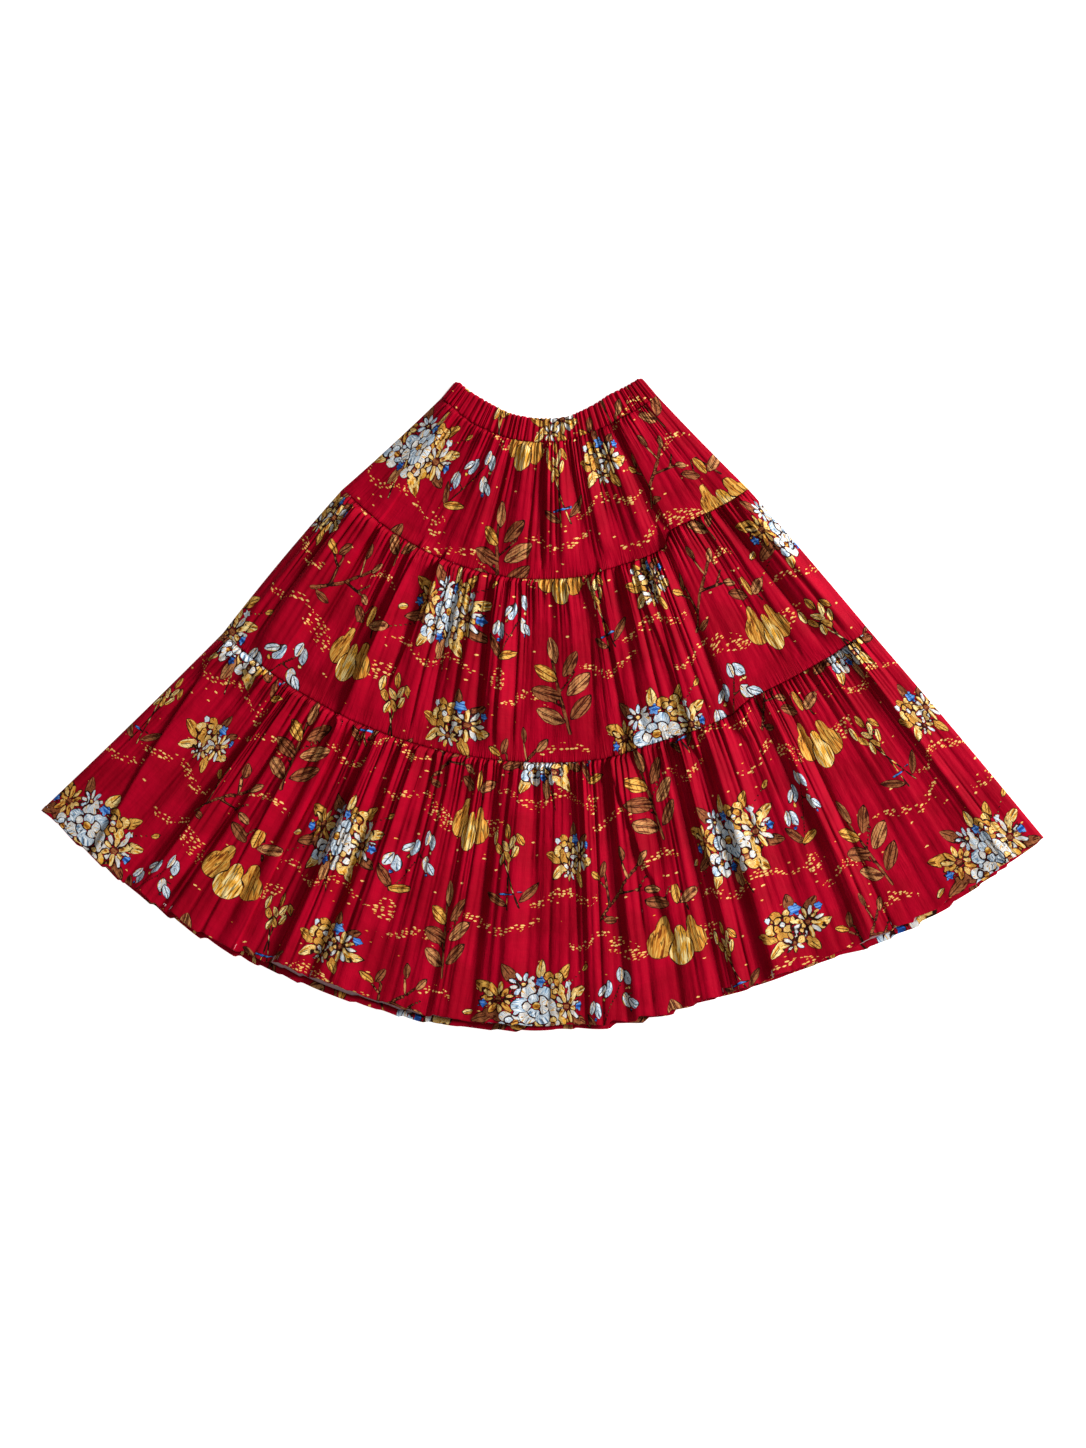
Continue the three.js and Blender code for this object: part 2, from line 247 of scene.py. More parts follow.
# Level of the gathers and their swing about it. Each wave's rise is width / (pi count) times
# the root of its share of the spare cloth, smoothed flat. Fine ones run together into folds.
def gathers(tier, w, v, across, depth):
    lower = np.radians(np.ptp(lines[tier["bottom"]]["ends"])) * radiusAt(tier["bottom"], np.array(0.0))
    spare = np.maximum(lower * tier["slack"] / across - 1, 0)
    down, count, key = np.maximum(depth * v, 0), tier["gathers"], int(10 * tier["seed"])

    def varied(share, everyGather, number):
        return 1 + share * wander(w * count * everyGather, key + number)

    fresh = np.exp(-down / (tier["length"] * varied(*gathering["lengthUneven"], 0)))
    fine = np.exp(-down / (gathering["fineReach"] * varied(*gathering["fineUneven"], 21)))
    crowding, often = gathering["crowding"]
    phase = 2 * np.pi * count * w + crowding * wander(w * count * often, key + 1)
    nearSeam = 1 + gathering["seamRise"] * np.exp(-down / gathering["seamReach"])
    bunches = blend(1, varied(*gathering["bunchUneven"], 16), smooth(down / gathering["bunchFrom"]))
    uneven, often = gathering["riseUneven"]
    level, swing = np.zeros_like(across), np.zeros_like(across)
    for number, wave in enumerate(gatherWaves):
        step = wave["gathers"]
        share = blend(wave["lower"], wave["atSeam"], fine if step < 1 else fresh)
        rise = gathering["laidFlat"] * tier["rise"] * across * step / (np.pi * count)
        rise = rise * np.sqrt(spare * share)
        rise = rise * (1 + uneven * wander(w * count / step * often + 5, key + 2 + number))
        rise = rise * nearSeam * bunches
        bend = gathering["bend"] * number * np.sin(9 * w + key)
        stray = v * (bend + gathering["stray"] * wander(w * count / step * 0.5, key + 8 + number))
        level = level + rise
        swing = swing + rise * crest(phase / step + stray, wave["sharpness"])
    return gathering["lift"] * level, swing


# Shallow crumples of worn cotton, longer down the cloth than across it: a random curve across
# times one down, each bent by another. across is times to a gather.
crumpling = {"across": 0.7, "acrossBend": 1.5, "bends": 6, "down": 8, "downBend": 2, "sideBends": 25}


def crumple(w, v, count, key):
    bend = crumpling["acrossBend"] * wander(crumpling["bends"] * v, key)
    across = wander(w * count * crumpling["across"] + bend, key + 1)
    bend = crumpling["downBend"] * wander(w * crumpling["sideBends"], key + 2)
    return across * wander(crumpling["down"] * v + bend, key + 3)


# How far the hem is drawn back by the folds that end in it: a saw tooth, with a soft step at
# each fold's steep side, of uneven length and depth.
scallop = {
    "depth": 7.0,  # millimetres
    "step": 0.84,  # share of each tooth after which it falls back
    "lengthUneven": 0.45, "toothDepth": 0.55, "depthUneven": 0.55,
    "seed": 40,
}


def hemScallop(tier, w):
    key = int(10 * tier["seed"]) + scallop["seed"]
    turns = (tier["scallops"] * w + scallop["lengthUneven"] * wander(w * 31, key)) % 1
    tooth = turns - smooth((turns - scallop["step"]) / (1 - scallop["step"]))
    deep = scallop["toothDepth"] + scallop["depthUneven"] * wander(w * 23, key + 1)
    return scallop["depth"] * (0.5 - deep * tooth)


# Rows down a panel, close together at the seams: millimetres from the seam above, from the
# seam below, and from the hem.
rowsAt = {
    "top": [-1.2, 0, 0.7, 1.4, 2.3, 3.5, 5.2, 7.5],
    "seam": [6, 4, 2.6, 1.6, 0.8, 0],
    "hem": [8, 5.5, 3.5, 1.6, 0],
}


def rowShares(rows, depth, hem):
    top = np.array(rowsAt["top"]) / depth
    bottom = 1 - np.array(rowsAt["hem" if hem else "seam"]) / depth
    between = rows - len(top) - len(bottom) + 2
    return np.concatenate([top, np.linspace(top[-1], bottom[0], between)[1:-1], bottom])


# A fan's angle, radius and height as a point: x = r sin a, y = -r cos a, from the apex
def toPoints(angle, radius, z):
    a = np.radians(angle)
    return np.stack([apexX + radius * np.sin(a), apexY - radius * np.cos(a), z], axis=-1)


# The turned hem: the cloth goes round the edge and back under (or over) itself. Each row is
# (out from the hem line, away from the face), in millimetres.
hemTurn = [(0.45, 0.25), (0.6, 0.65), (0.4, 1.05), (-0.4, 1.25), (-4.5, 1.2), (-9.0, 1.2)]
hemTurnPrint = 1.6  # millimetres of cloth, and so of print, to each of its rows
hemTurnFloor = 0.3  # it stays this far above the surface


# Adds the turned hem below the rows of angles, radii, heights, w and t. way is -1 where it
# goes under the cloth.
def turnHem(angle, radius, z, w, t, way):
    out, away = np.array(hemTurn).T[:, :, None]
    rounds = np.arange(1, len(hemTurn) + 1)[:, None] * hemTurnPrint
    turnedZ = np.maximum(z[-1] + way * away, hemTurnFloor)
    added = angle[-1] + 0 * out, radius[-1] + out, turnedZ, w[-1] + 0 * out, t[-1] + rounds
    return [np.vstack([rows, more]) for rows, more in zip((angle, radius, z, w, t), added)]


# The front of a tier: gathered at the seam above, calm at the one below. Millimetres and shares.
frontFolds = {
    "seamSwing": 0.65, "seamSwingReach": 6,  # gathers are held down in the seam above
    "calm": 0.06, "calmReach": 50,  # and calm down above the one below
    "pucker": 0.45, "puckerReach": 6, "puckerSharpness": 0.9,
    "crumple": 0.5, "crumpleFrom": 20,
    "groove": 4.0, "grooveAt": -1.2, "grooveWidth": 1.3,  # the gathered edge dips into its seam
    "lapGroove": 3.2, "lapWidth": 1.1,  # and so does the edge above it
    "rest": 0.8,  # how softly a valley comes to lie on the back panel, square millimetres
    "lean": 0.45,  # how far a gather's crest leans over, as a share of its height
    "hemByHeight": 0.2, "hemBySwing": 0.3,  # how far a fold's height draws the hem back
}


def frontSurface(tier):
    isHem = tier["bottom"] == "frontHem"
    depth = depthBetween(tier["top"], tier["bottom"])
    shares = rowShares(tier["rows"], depth, isHem)
    v, w = np.meshgrid(shares, np.linspace(0, 1, tier["columns"] + 1), indexing="ij")
    angle, radius, across, sideways = place(tier["top"], tier["bottom"], spread(w, tier["seed"]), v)
    down, up = depth * v, depth * (1 - v)
    key, count = int(10 * tier["seed"]), tier["gathers"]
    settled = smooth(sideways / layers["edgeReach"])
    big, bigLean = largeFolds(angle, radius)
    level, swing = gathers(tier, w, v, across, depth)
    level = blend(level + big, seamLevel(tier["top"], angle), smooth(1 - down / layers["seamReach"]))
    swing = swing * blend(frontFolds["seamSwing"], 1, smooth(down / frontFolds["seamSwingReach"]))
    grooves = np.maximum(down - frontFolds["grooveAt"], 0) / frontFolds["grooveWidth"]
    grooves = frontFolds["groove"] * np.exp(-grooves)
    nearHem = np.zeros_like(level)
    if isHem:
        nearHem = smooth(1 - up / layers["hemReach"])
    else:
        level = blend(level, seamLevel(tier["bottom"], angle), smooth(1 - up / layers["seamReach"]))
        swing = swing * blend(frontFolds["calm"], 1, smooth(up / frontFolds["calmReach"]))
        phase = 2 * np.pi * tier["puckers"] * w + 2 * wander(w * count, key + 5)
        puckers = frontFolds["pucker"] * crest(phase, frontFolds["puckerSharpness"])
        swing = swing + puckers * np.exp(-up / frontFolds["puckerReach"])
        grooves = grooves + frontFolds["lapGroove"] * np.exp(-up / frontFolds["lapWidth"])
    crumples = frontFolds["crumple"] * crumple(w, v, count, key + 30)
    swing = swing + crumples * smooth(down / frontFolds["crumpleFrom"])
    height = level + swing - grooves - layers["lowest"]
    height = 0.5 * (height + np.sqrt(height**2 + frontFolds["rest"])) + layers["lowest"]
    z = layers["frontSkin"] + nearHem + settled * height
    z = blend(z, layers["sideSkin"], smooth(1 - sideways / layers["sideTurn"]))
    drawn = frontFolds["hemByHeight"] * height + frontFolds["hemBySwing"] * swing + hemScallop(tier, w)
    radius = radius - nearHem * settled * drawn
    leaning = bigLean - frontFolds["lean"] * (1 + wander(w * count * 0.3, key + 7)) * swing
    angle = angle + np.degrees(leaning * settled / radius)
    t = down
    if isHem:
        angle, radius, z, w, t = turnHem(angle, radius, z, w, t, -1)
    return toPoints(angle, radius, z), w * tier["cut"][0], t * tier["cut"][1] / depth


# The back of a tier: the same kind of folds, pressed flat. Its outer face is the lower one, and
# its lowest folds touch the surface.
backFolds = {
    "firstRows": (0.3, 0.5),  # millimetres from the seam above
    "height": 1.5,
    "press": 2.5,  # folds this high, either way, are pressed to about three quarters of that
    "large": 0.7,  # share of the front's large folds, the other way round, that show below
    "seam": 1.4, "seamAtSide": 0.5, "seamWidth": 1.4,  # how far it rises to a seam, less at a side
}


def backSurface(tier):
    isHem = tier["bottom"] == "frontHem"
    bottom = "backHem" if isHem else tier["bottom"]
    depth = depthBetween(tier["top"], bottom)
    shares = rowShares(tier["backRows"], depth, isHem)
    shares[:2] = np.array(backFolds["firstRows"]) / depth
    v, w = np.meshgrid(shares, np.linspace(0, 1, tier["backColumns"] + 1), indexing="ij")
    angle, radius, across, sideways = place(tier["top"], bottom, spread(w, tier["seed"] + 1), v)
    settled = smooth(sideways / layers["edgeReach"])
    level, swing = gathers(dict(tier, seed=tier["seed"] + 3, rise=1.0), w, v, across, depth)
    swing = swing + backFolds["large"] * largeFolds(-angle, radius)[0]
    z = backFolds["height"] * settled * (0.5 + 0.5 * np.tanh(swing / backFolds["press"]))
    down, up = depth * v, depth * (1 - v)
    groove = np.exp(-down / backFolds["seamWidth"])
    if not isHem:
        groove = groove + np.exp(-up / backFolds["seamWidth"])
    seam = backFolds["seam"] - backFolds["seamAtSide"] * smooth(1 - sideways / layers["sideTurn"])
    z = np.maximum(z, seam * np.minimum(groove, 1))
    t = down
    if isHem:
        radius = radius - hemScallop(tier, w) * settled * smooth(1 - up / layers["hemReach"])
        angle, radius, z, w, t = turnHem(angle, radius, z, w, t, 1)
    return toPoints(angle, radius, z), w * tier["cut"][0], t * tier["cut"][1] / depth


# The waistband: a casing round an elastic, drawn up in ribs. Each half is a flattened loop of
# cloth from the seam, up the outside, round the upper edge and down the inside. Millimetres.
band = {
    "ribs": 40, "cut": (450, 35), "asLaid": 34, "columns": 560, "backColumns": 300,
    "outsideRows": 13, "insideRows": 9, "firstRow": 0.05,  # share of the depth, next to the edge
    "round": [(0.85, 0.5), (0.5, 0.9), (0.15, 0.5)],  # the edge: share of the thickness, and out
    "crowding": 1.1, "bend": 0.5,  # radians by which ribs stand unevenly, and bend at the edge
    "ribUneven": 0.5, "sharpness": 0.9,
    "fineRibs": 2.3, "fineHeight": 0.16, "fineCrowding": 1.5,  # finer ones on each rib
    "ribLevel": 0.35,  # share of a rib's height that lies below the band's level
    "seamDip": 0.8, "dipReach": 2,
    "flatReach": 3,  # ribs are flatter this near the upper edge
    "scallop": 1.5, "scallopReach": 5,  # and scallop it
    "corner": 7.0,  # how far its upper corners are rounded
    "sideReach": 4.0, "sideThickness": 0.25,  # the casing closes up at the skirt's sides
    "front": {"floor": 3.5, "top": 6.6, "rib": 2.3, "under": 0.5, "seed": 0.9, "printFrom": (300, 60)},
    "back": {"floor": 0.0, "top": 2.8, "rib": 0.5, "under": 1.1, "seed": 1.7, "printFrom": (210, 150)},
}


# rowShare is the share of the depth from the upper edge to the seam. A rib is a wave with a
# finer one on it, both of uneven height.
def bandSurface(side, columns, seed):
    half, key, deep = band[side], int(10 * seed), band["cut"][1]
    outside = np.linspace(1, band["firstRow"], band["outsideRows"])
    inside = np.linspace(band["firstRow"], 1, band["insideRows"])
    roundLift, roundOut = np.array(band["round"]).T
    around = np.concatenate([outside, 0 * roundLift, inside])
    lift = np.concatenate([np.ones(len(outside)), roundLift, 0 * inside])[:, None]
    out = np.concatenate([0 * outside, roundOut, 0 * inside])[:, None]
    rowShare, w = np.meshgrid(around, np.linspace(0, 1, columns + 1), indexing="ij")
    angle, radius, across, sideways = place("waist", "bandSeam", spread(w, seed), rowShare)
    toEdge, toSeam = rowShare * band["asLaid"], (1 - rowShare) * band["asLaid"]

    def ribWander(everyRib, number):
        return wander(w * band["ribs"] * everyRib, key + number)

    phase = 2 * np.pi * band["ribs"] * w + band["crowding"] * ribWander(0.5, 0)
    phase = phase + band["bend"] * (1 - rowShare) * ribWander(0.7, 1)
    fine = band["fineRibs"] * phase + band["fineCrowding"] * ribWander(1, 3)
    rib = 0.5 + 0.5 * crest(phase, band["sharpness"]) * (1 + band["ribUneven"] * ribWander(0.8, 2))
    rib = rib + band["fineHeight"] * crest(fine, band["sharpness"]) * (1 + ribWander(0.6, 4))
    seamDip = band["seamDip"] * np.exp(-toSeam / band["dipReach"])
    lower = half["floor"] + half["under"] * (1 - rib)
    if side == "front":
        flatter = smooth(1.2 - 0.9 * np.exp(-toEdge / band["flatReach"]))
        upper = half["top"] + half["rib"] * (rib - band["ribLevel"]) * flatter - seamDip
        z = blend(lower, upper, lift)
    else:
        upper = half["top"] - half["rib"] * (1 - rib) - 0.4 * seamDip
        z = np.maximum(blend(upper, lower, lift), 0)
    closing = smooth(1 - sideways / band["sideReach"])
    closed = 0.5 * (half["floor"] + half["top"]) + band["sideThickness"] * (lift - 0.5)
    z = blend(z, closed, closing)
    corner = np.clip(1 - sideways / band["corner"], 0, 1)
    rounding = band["corner"] * (1 - np.sqrt(1 - corner**2)) * (1 - rowShare) ** 2
    scallops = band["scallop"] * (1 - rib) * np.exp(-toEdge / band["scallopReach"]) * (1 - closing)
    radius = radius - out + rounding + scallops
    outsideT, insideT = np.linspace(deep, 2, len(outside)), np.linspace(-2, -deep, len(inside))
    t = np.concatenate([outsideT, [1, 0, -1], insideT])[:, None]
    return toPoints(angle, radius, z), w * band["cut"][0], t + 0 * w


# Print

# Signed distances in millimetres, below 0 inside the shape.
# Ellipse: (k - 1) k / |gradient|, with k the distance in units of the half axes.
def ellipse(x, y, a, b):
    k = np.hypot(x / a, y / b)
    return (k - 1) * k / np.maximum(np.hypot(x / a**2, y / b**2), 1e-6)


# Pointed leaf: where two equal circles overlap.
def leaf(x, y, length, width):
    radius = (length**2 + width**2) / (4 * width)
    return np.hypot(x, np.abs(y) + radius - width / 2) - radius


# Stem: distance to a line from the origin along x, less half its thickness.
def stem(x, y, length, thickness):
    return np.hypot(x - np.clip(x, 0, length), y) - thickness / 2


# Blossom: distance from the middle less a radius with one swell to each petal.
def blossom(x, y, radius, petals):
    return np.hypot(x, y) - radius * (0.78 + 0.22 * np.cos(petals * np.arctan2(y, x)))


# x and y turned into a shape's own axes
def turned(x, y, cx, cy, degrees):
    c, s = math.cos(math.radians(degrees)), math.sin(math.radians(degrees))
    return (x - cx) * c + (y - cy) * s, (y - cy) * c - (x - cx) * s


# Pear: the nearer of two ellipses, a belly and a neck. Each: its place, half length and half
# width, as shares of the pear's.
pearParts = [(-0.14, 0.34, 0.5), (0.2, 0.26, 0.25)]


def pear(x, y, length, width):
    parts = [ellipse(x - at * length, y, long * length, wide * width) for at, long, wide in pearParts]
    return np.minimum(*parts)


inkNames = ["gold", "ochre", "pale", "cream", "tan", "brown", "blue"]

# The brush strokes of a shape follow its own axes, kept as millimetres along and across it.
# across starts anew every 100 mm for the next shape; a leaf has its rib at the start, and any
# other shape is half of that further on. A petal is darker near its root, where along is low.
strokes = {
    "shape": 100.0, "shapes": 8, "noRib": 50.0, "petalEnd": 50.0, "noRoot": 1000.0,
    "reach": 2.5,  # they are kept this far outside the shape too
    "far": 60.0,  # distance to an ink where there is none near
}


# Lays one shape of ink over the others, which it cuts away.
def paint(inks, near, ink, distance, along, across, number):
    for name in inkNames:
        inks[name][near] = np.maximum(inks[name][near], -distance)
    inks[ink][near] = np.minimum(inks[ink][near], distance)
    own = distance < strokes["reach"]
    inks["along"][near[own]] = along[own]
    inks["across"][near[own]] = across[own] + strokes["shape"] * (number % strokes["shapes"])


# Motifs, each drawn round its own middle: x to the right, y down the cloth, millimetres, and
# the parts of each in the order in which they are laid down.
# grounds: x, y, half width, half height, ink. stems: x, y, length, thickness, turn, ink.
# leaves: x, y, length, width, turn, ink. fruits: x, y, length, width, turn, ink.
# flowers: x, y, size, petals, their half width as a share of the size, their two inks, heart,
# turn. buds: x, y, radius, ink.
motifs = {
    "bouquet": {
        "reach": 100,
        "grounds": [
            (-34, 4, 30, 26, "brown"), (34, 6, 32, 26, "ochre"), (0, -18, 30, 18, "brown"),
            (0, 26, 34, 16, "gold"),
        ],
        "stems": [
            (-60, 30, 40, 2.2, 150, "ochre"), (56, -34, 36, 2.2, -34, "gold"), (8, 46, 40, 2.2, 70, "gold"),
        ],
        "leaves": [
            (-62, -22, 44, 19, 24, "ochre"), (-60, 20, 44, 17, -22, "brown"), (-36, 44, 40, 17, -62, "gold"),
            (2, 50, 40, 17, 86, "tan"), (38, 42, 44, 18, 50, "gold"), (66, 22, 40, 17, 20, "brown"),
            (66, -18, 40, 16, -20, "gold"), (40, -42, 42, 17, -54, "ochre"), (4, -48, 38, 16, -84, "gold"),
            (-34, -42, 42, 17, 52, "brown"), (-86, 16, 18, 9, 150, "gold"), (84, -52, 18, 9, -34, "ochre"),
        ],
        "flowers": [
            (-46, -8, 50, 11, 0.075, "gold", "ochre", "brown", 14),
            (48, 2, 54, 12, 0.07, "cream", "gold", "brown", 40),
            (-24, 28, 44, 5, 0.2, "pale", "cream", "ochre", 5),
            (26, 30, 44, 5, 0.2, "gold", "cream", "tan", 60),
            (24, -28, 44, 5, 0.2, "gold", "ochre", "cream", 25),
            (-18, -30, 36, 9, 0.085, "cream", "pale", "gold", 0),
            (0, 0, 60, 6, 0.19, "cream", "pale", "gold", 0),
        ],
        "buds": [
            (-66, 0, 8, "blue"), (70, 2, 8, "blue"), (4, -34, 9, "blue"), (-4, 38, 8, "blue"),
            (50, -30, 7, "cream"),
        ],
    },
    "posy": {
        "reach": 60,
        "grounds": [(0, 4, 28, 22, "brown")],
        "leaves": [
            (-34, 8, 38, 16, 14, "ochre"), (34, 8, 38, 16, -18, "gold"), (-2, -30, 34, 15, 84, "brown"),
            (-22, 26, 36, 15, -50, "gold"), (24, -22, 34, 15, -40, "brown"), (20, 30, 34, 14, 55, "ochre"),
        ],
        "flowers": [
            (-14, -6, 44, 5, 0.2, "gold", "ochre", "cream", 20),
            (18, 0, 46, 12, 0.07, "cream", "gold", "brown", 50),
            (-2, 22, 32, 9, 0.085, "gold", "cream", "brown", 10),
        ],
        "buds": [(4, -22, 10, "blue"), (-32, -16, 6, "cream"), (36, -18, 7, "blue")],
    },
    "bough": {
        "reach": 82,
        "stems": [
            (-2, 66, 110, 5, -94, "brown"), (-3, 30, 34, 3, -140, "brown"), (-4, 6, 34, 3, -40, "brown"),
        ],
        "leaves": [
            (-24, 38, 46, 21, 34, "tan"), (20, 34, 46, 20, -38, "brown"), (-26, 6, 50, 22, 22, "brown"),
            (24, 2, 48, 22, -30, "tan"), (-22, -22, 44, 20, 38, "ochre"), (18, -28, 44, 19, -46, "brown"),
            (-6, -52, 40, 18, 84, "tan"),
        ],
    },
    "pears": {
        "reach": 66,
        "stems": [(-22, -34, 40, 3.4, -62, "brown"), (20, -26, 44, 3.4, -112, "brown")],
        "leaves": [
            (-26, -44, 40, 17, 20, "brown"), (24, -46, 42, 17, -24, "tan"), (2, -52, 34, 14, 84, "ochre"),
        ],
        "fruits": [
            (-24, 4, 62, 38, -80, "ochre"), (24, 8, 58, 36, -102, "ochre"), (2, 20, 60, 38, -90, "gold"),
        ],
    },
    "bells": {
        "reach": 66,
        "stems": [
            (-20, 52, 104, 2.6, -68, "brown"), (-6, 18, 26, 2, -150, "brown"), (4, -6, 26, 2, -14, "brown"),
        ],
        "leaves": [
            (-30, 36, 44, 13, -130, "brown"), (-6, 44, 40, 13, -20, "ochre"), (-24, 12, 26, 15, 70, "pale"),
            (-34, 10, 24, 12, 100, "cream"), (22, -2, 26, 15, 64, "cream"), (32, 2, 24, 12, 40, "pale"),
            (-8, -18, 28, 16, 100, "pale"), (-17, -16, 24, 11, 128, "cream"), (20, -34, 26, 15, 60, "pale"),
            (10, -38, 24, 11, 84, "cream"),
        ],
        "buds": [(-26, 26, 4, "blue"), (28, 12, 4, "blue"), (-14, -3, 4, "gold"), (24, -20, 4, "gold")],
    },
    "wheat": {
        "reach": 74,
        "stems": [
            (-8, 54, 84, 2.6, -82, "ochre"), (8, 54, 84, 2.6, -100, "gold"), (-16, 30, 30, 4, 4, "blue"),
        ],
        "leaves": [
            (-22, 36, 40, 12, -140, "brown"), (24, 34, 42, 12, -36, "brown"),
            (-1, -36, 22, 10, 60, "gold"), (11, -41, 22, 10, 120, "gold"), (0, -22, 22, 10, 55, "ochre"),
            (13, -26, 22, 10, 125, "gold"), (-12, -34, 22, 10, 70, "ochre"), (-16, -50, 24, 10, 100, "gold"),
            (5, -56, 24, 10, 92, "ochre"), (-8, -18, 20, 9, 110, "gold"), (22, -42, 22, 10, 70, "ochre"),
        ],
    },
    "twigs": {
        "reach": 72,
        "stems": [
            (-40, 40, 98, 5, -44, "brown"), (-22, 22, 42, 4, -96, "brown"), (-4, 6, 40, 4, 4, "brown"),
            (14, -12, 30, 3.6, -104, "tan"), (22, 8, 26, 3.6, -40, "brown"), (-26, -4, 24, 3.4, -140, "tan"),
        ],
        "leaves": [
            (46, 12, 26, 12, 20, "tan"), (-30, -30, 26, 12, -70, "brown"), (-46, -22, 24, 11, 30, "ochre"),
            (8, -48, 24, 11, -100, "brown"), (38, -34, 26, 12, -50, "tan"), (-22, 42, 24, 11, 10, "brown"),
        ],
    },
}

# One repeat of the print, dropped by half a repeat in every second column. Motif rows:
# kind, x, y, turn. Scatter rows, where small gold dashes and dots lie: x, y, width, height.
repeat = {
    "width": 372,
    "height": 356,
    "sway": 9, "swayLength": 17,  # the long rows of dashes wave up and down by so much
    "motifs": [
        ("wheat", 52, 262, -12), ("twigs", 262, 292, 0), ("posy", 158, 238, 8), ("bough", 330, 176, -8),
        ("bells", 236, 92, 6), ("bouquet", 102, 92, 0), ("pears", 336, 14, 4),
    ],
    "scatter": [
        (104, 160, 190, 6), (262, 196, 100, 6), (150, 298, 150, 7), (44, 338, 120, 6), (196, 4, 90, 6),
        (262, 22, 60, 14), (12, 196, 50, 12), (330, 268, 70, 6), (214, 170, 26, 16),
    ],
}


# Shares of a flower's size. rounds: how far out a petal's middle is, its half length and half
# width, and its turn.
flower = {"rounds": [(0.3, 0.22, 1, 0), (0.17, 0.13, 0.7, 31)], "heart": 0.1, "wide": 0.12}


# Draws a motif on the cloth around (cx, cy), turned by some degrees. A flower has its petals
# round a dark heart, every second one over its neighbours; a wide-petalled one has a second,
# smaller round of them.
def drawMotif(inks, s, t, kind, cx, cy, turn):
    motif = motifs[kind]
    near = np.nonzero((np.abs(s - cx) < motif["reach"]) & (np.abs(t - cy) < motif["reach"]))[0]
    if len(near) == 0:
        return
    x, y = turned(s[near], t[near], cx, cy, turn)
    noRib, noRoot, number = strokes["noRib"], strokes["noRoot"], 0

    def lay(ink, distance, along, across):
        nonlocal number
        paint(inks, near, ink, distance, along, across, number)
        number += 1

    for gx, gy, halfWidth, halfHeight, ink in motif.get("grounds", []):
        lay(ink, ellipse(x - gx, y - gy, halfWidth, halfHeight), noRoot + y, x / 4 + noRib)
    for part, shape in {"stems": stem, "leaves": leaf, "fruits": pear}.items():
        root, rib = (0, 0) if part == "leaves" else (noRoot, noRib)
        for px, py, length, width, way, ink in motif.get(part, []):
            px, py = turned(x, y, px, py, way)
            lay(ink, shape(px, py, length, width), root + px, py + rib)
    for fx, fy, size, petals, slim, first, second, heart, way in motif.get("flowers", []):
        rounds = flower["rounds"] if slim > flower["wide"] else flower["rounds"][:1]
        for inner, (middle, halfLength, narrower, ahead) in enumerate(rounds):
            count = petals - inner
            for k in [*range(0, count, 2), *range(1, count, 2)]:
                px, py = turned(x, y, fx, fy, way + ahead + 360 * k / count)
                petal = ellipse(px - middle * size, py, halfLength * size, narrower * slim * size)
                along = px * strokes["petalEnd"] / (size * (middle + halfLength))
                lay(first if k % 2 == 0 else second, petal, along, py + noRib)
        middle = ellipse(x - fx, y - fy, flower["heart"] * size, flower["heart"] * size)
        paint(inks, near, heart, middle, noRoot + x, y + noRib, number)
    for bx, by, radius, ink in motif.get("buds", []):
        paint(inks, near, ink, blossom(x - bx, y - by, radius, 5), noRoot + x, y + noRib, number)


# The print over a whole panel: at every point of the cloth a distance for each ink, the places
# along and across the strokes, and a distance to where small gold dashes are scattered.
def printOn(s, t, start):
    shape = s.shape
    s, t = s.ravel() + start[0], t.ravel() + start[1]
    inks = {name: np.full(s.shape, strokes["far"]) for name in inkNames + ["scatter"]}
    inks.update(along=np.zeros(s.shape), across=np.zeros(s.shape))
    wide, tall = repeat["width"], repeat["height"]
    for column in range(int(s.min() // wide) - 1, int(s.max() // wide) + 2):
        drop = tall / 2 if column % 2 else 0
        for row in range(int(t.min() // tall) - 2, int(t.max() // tall) + 2):
            left, top = column * wide, row * tall + drop
            for x, y, w, h in repeat["scatter"]:
                sway = repeat["sway"] * np.sin((s - left) / repeat["swayLength"] + y) * (w > h * 2)
                patch = ellipse(s - left - x, t - top - y - sway, w / 2, h)
                inks["scatter"] = np.minimum(inks["scatter"], patch)
            for kind, x, y, turn in repeat["motifs"]:
                drawMotif(inks, s, t, kind, left + x, top + y, turn)
    return {name: values.reshape(shape) for name, values in inks.items()}


# Materials

# sRGB hex to linear
def colour(code):
    parts = np.array([int(code[i : i + 2], 16) for i in (1, 3, 5)]) / 255
    linear = np.where(parts <= 0.04045, parts / 12.92, ((parts + 0.055) / 1.055) ** 2.4)
    return (*linear.tolist(), 1.0)


# Adds a node with its settings, and its inputs as values or links, in the order of its sockets
# or by their names, and gives one output.
def addNode(tree, kind, settings, inputs, output=0):
    node = tree.nodes.new("ShaderNode" + kind)
    for name, value in settings.items():
        setattr(node, name, value)
    for name, value in (enumerate(inputs) if isinstance(inputs, list) else inputs.items()):
        if isinstance(value, bpy.types.NodeSocket):
            tree.links.new(value, node.inputs[name])
        else:
            node.inputs[name].default_value = value
    return node if output is None else node.outputs[output]


# Settings that many nodes share
times, plus, minus = {"operation": "MULTIPLY"}, {"operation": "ADD"}, {"operation": "SUBTRACT"}
timesPlus, unsigned = {"operation": "MULTIPLY_ADD"}, {"operation": "ABSOLUTE"}
below, ramp = {"operation": "LESS_THAN"}, {"interpolation_type": "SMOOTHSTEP"}
colours, flat, cells = {"data_type": "RGBA"}, {"noise_dimensions": "2D"}, {"voronoi_dimensions": "2D"}


# Starts a material, and gives it and the function that adds nodes to it.
def newMaterial(name):
    material = bpy.data.materials.new(name)
    material.use_nodes = True
    material.node_tree.nodes.clear()
    return material, functools.partial(addNode, material.node_tree)


